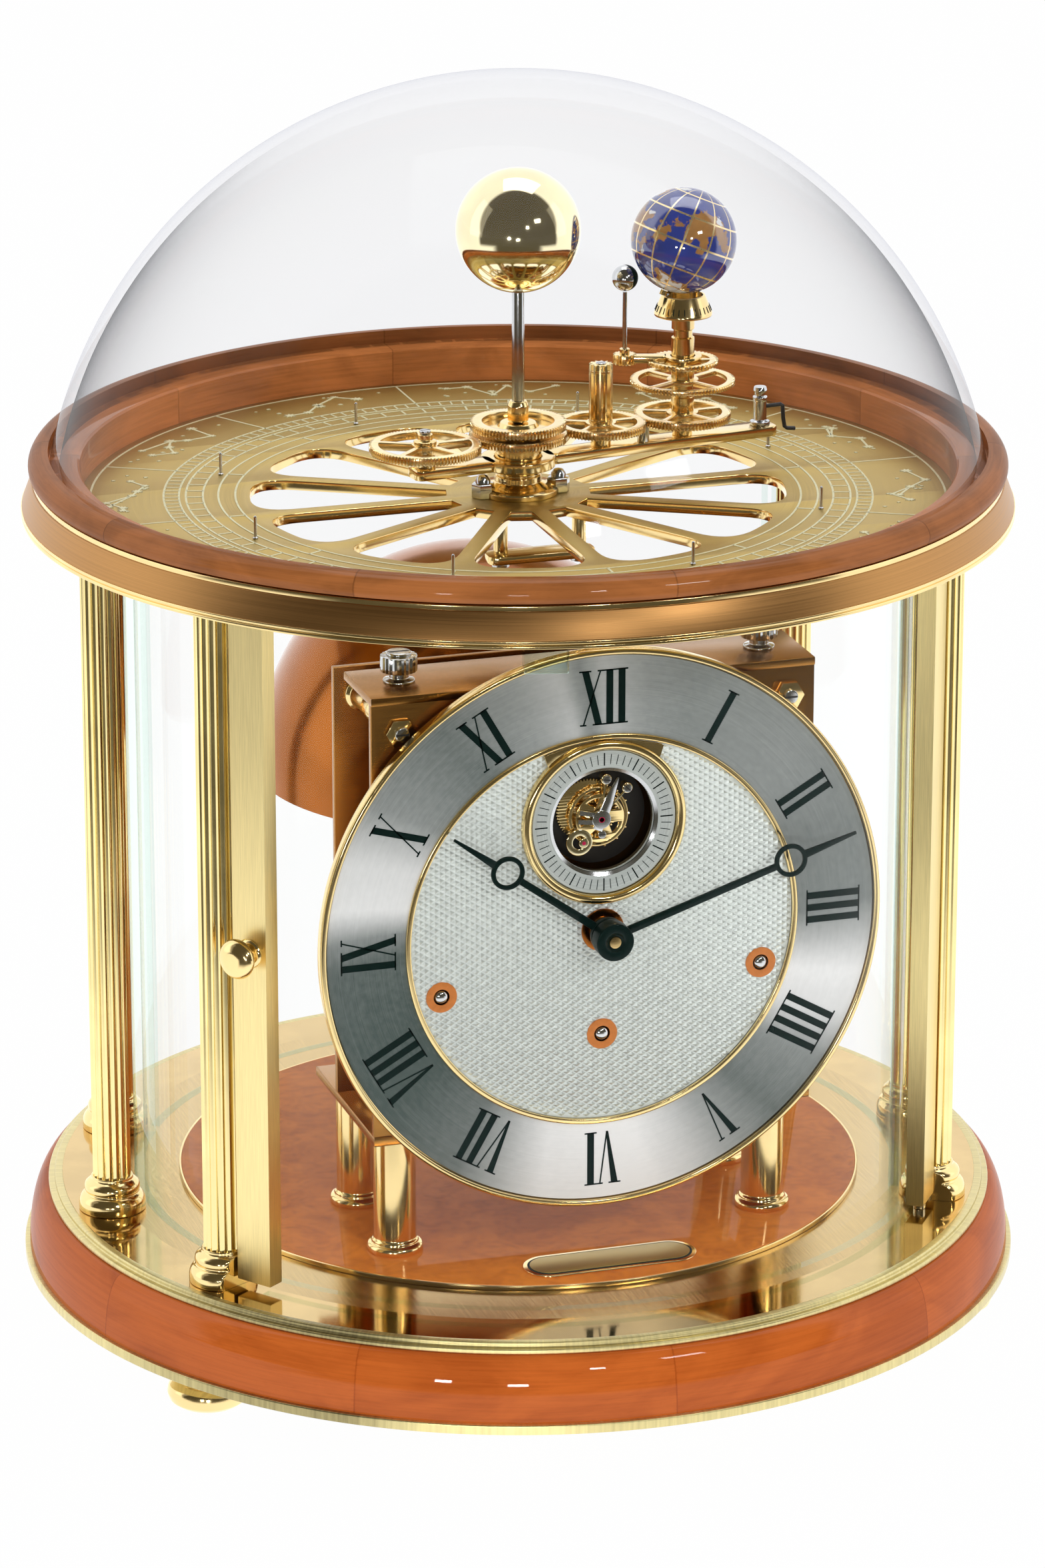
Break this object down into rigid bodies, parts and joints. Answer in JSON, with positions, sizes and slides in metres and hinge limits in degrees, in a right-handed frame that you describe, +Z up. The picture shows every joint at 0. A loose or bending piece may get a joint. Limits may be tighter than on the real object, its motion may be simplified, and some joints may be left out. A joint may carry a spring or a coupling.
{
  "type": "tellurium clock",
  "caption": "Round table clock in brass, glass and cherry wood, with a tellurium of sun, earth and moon under a glass dome.",
  "frame": {"origin": "centre of the base, on the surface that the feet stand on", "axes": "+Z up, the dial and the door face -Y"},
  "size_m": [0.3, 0.3, 0.3703],
  "materials": {
    "polished_brass": "polished, lacquered",
    "brushed_brass": "brushed",
    "copper": "polished, copper toned",
    "nickel": "polished nickel plate",
    "silvered": "silvered, brushed",
    "cherry": "high gloss lacquer",
    "burl": "gloss burl veneer",
    "glass": "clear mineral glass",
    "hand_black": "satin black",
    "globe_blue": "gloss enamel",
    "moon_grey": "half bright, half black"
  },
  "bodies": {
    "case": {"foot_left": "polished_brass", "foot_right": "polished_brass", "foot_back": "polished_brass", "bottom_plate": "polished_brass", "base_plate": "polished_brass", "column_left_front": "polished_brass", "column_left_middle": "polished_brass", "column_left_rear": "polished_brass", "column_right_front": "polished_brass", "column_right_middle": "polished_brass", "column_right_rear": "polished_brass", "leg_left_front": "polished_brass", "leg_left_back": "polished_brass", "leg_right_front": "polished_brass", "leg_right_back": "polished_brass", "movement_seat": "polished_brass", "front_plate": "polished_brass", "back_plate": "polished_brass", "top_bracket": "polished_brass", "bell_stand": "polished_brass", "dial_plate": "polished_brass", "inner_rim": "polished_brass", "hub": "polished_brass", "centre_gear": "polished_brass", "sun": "polished_brass", "name_plate": "brushed_brass", "top_plate": "brushed_brass", "band_ring": "brushed_brass", "bell": "copper", "sun_rod": "nickel", "chapter_ring": "silvered", "dial_centre": "silvered", "seconds_ring": "silvered", "plinth": "cherry", "dome_ring": "cherry", "floor_panel": "burl", "left_glass": "glass", "right_glass": "glass", "back_glass": "glass", "door_stop": "glass"},
    "door": {"door_glass": "glass", "door_stile_left": "brushed_brass", "door_stile_right": "brushed_brass", "door_knob": "polished_brass"},
    "dome_cover": {"dome": "glass"},
    "minute": {"minute_hand": "hand_black"},
    "hour": {"hour_hand": "hand_black"},
    "cage": {"balance_cage": "polished_brass"},
    "balance": {"balance_wheel": "polished_brass"},
    "winder_left": {"barrel_left": "polished_brass"},
    "winder_middle": {"barrel_middle": "polished_brass"},
    "winder_right": {"barrel_right": "polished_brass"},
    "striker": {"hammer": "nickel"},
    "orbit": {"orbit_arm": "polished_brass"},
    "counter": {"counter_gear": "polished_brass"},
    "idler": {"idler_gear": "polished_brass"},
    "earth": {"earth_carrier": "polished_brass"},
    "earth_globe": {"globe": "globe_blue"},
    "moon_carrier": {"moon_arm": "polished_brass"},
    "moon_ball": {"moon": "moon_grey"}
  },
  "joints": [
    {"name": "door_hinge", "type": "hinge", "parent": "case", "child": "door", "pos_m": [0.10198, -0.07409, 0.14], "axis": [0, 0, 1], "range_deg": [0, 105]},
    {"name": "dome_lift", "type": "slide", "parent": "case", "child": "dome_cover", "axis": [0, 0, 1], "range_m": [0, 0.16]},
    {"name": "minute_turn", "type": "hinge", "parent": "case", "child": "minute", "pos_m": [0, -0.085, 0.1377], "axis": [0, 1, 0], "continuous": true},
    {"name": "hour_turn", "type": "hinge", "parent": "case", "child": "hour", "pos_m": [0, -0.08, 0.1377], "axis": [0, 1, 0], "continuous": true},
    {"name": "cage_turn", "type": "hinge", "parent": "case", "child": "cage", "pos_m": [0, -0.075, 0.1707], "axis": [0, 1, 0], "continuous": true},
    {"name": "balance_swing", "type": "hinge", "parent": "cage", "child": "balance", "pos_m": [0, -0.0752, 0.1707], "axis": [0, 1, 0], "range_deg": [-135, 135]},
    {"name": "wind_left", "type": "hinge", "parent": "case", "child": "winder_left", "pos_m": [-0.0485, -0.05, 0.1223], "axis": [0, 1, 0], "continuous": true},
    {"name": "wind_middle", "type": "hinge", "parent": "case", "child": "winder_middle", "pos_m": [0, -0.05, 0.1057], "axis": [0, 1, 0], "continuous": true},
    {"name": "wind_right", "type": "hinge", "parent": "case", "child": "winder_right", "pos_m": [0.0485, -0.05, 0.1223], "axis": [0, 1, 0], "continuous": true},
    {"name": "hammer_swing", "type": "hinge", "parent": "case", "child": "striker", "pos_m": [0.05, -0.024, 0.107], "axis": [1, 0, 0], "range_deg": [-9, 7], "stiffness_Nm_per_rad": 0.1, "springref_deg": 0.26},
    {"name": "orbit_turn", "type": "hinge", "parent": "case", "child": "orbit", "pos_m": [0, 0, 0.256], "axis": [0, 0, 1], "continuous": true},
    {"name": "counter_turn", "type": "hinge", "parent": "orbit", "child": "counter", "pos_m": [-0.02971, -0.00417, 0.264], "axis": [0, 0, 1], "continuous": true},
    {"name": "idler_turn", "type": "hinge", "parent": "orbit", "child": "idler", "pos_m": [0.02674, 0.00376, 0.264], "axis": [0, 0, 1], "continuous": true},
    {"name": "earth_turn", "type": "hinge", "parent": "orbit", "child": "earth", "pos_m": [0.05347, 0.00751, 0.28], "axis": [0, 0, 1], "continuous": true},
    {"name": "globe_spin", "type": "hinge", "parent": "earth", "child": "earth_globe", "pos_m": [0.05347, 0.00751, 0.317], "axis": [0.3949, 0.0555, 0.9171], "continuous": true},
    {"name": "moon_turn", "type": "hinge", "parent": "orbit", "child": "moon_carrier", "pos_m": [0.05347, 0.00751, 0.281], "axis": [0, 0, 1], "continuous": true},
    {"name": "moon_phase", "type": "hinge", "parent": "moon_carrier", "child": "moon_ball", "pos_m": [0.03707, 0.01269, 0.3057], "axis": [0, 0, 1], "continuous": true}
  ],
  "couplings": [
    {"joint": "hour_turn", "follows": "minute_turn", "ratio": 0.083333},
    {"joint": "counter_turn", "follows": "orbit_turn", "ratio": 0.875},
    {"joint": "idler_turn", "follows": "orbit_turn", "ratio": 1.0769},
    {"joint": "earth_turn", "follows": "orbit_turn", "ratio": -1},
    {"joint": "moon_turn", "follows": "orbit_turn", "ratio": 12.368},
    {"joint": "moon_phase", "follows": "orbit_turn", "ratio": -12.368}
  ]
}
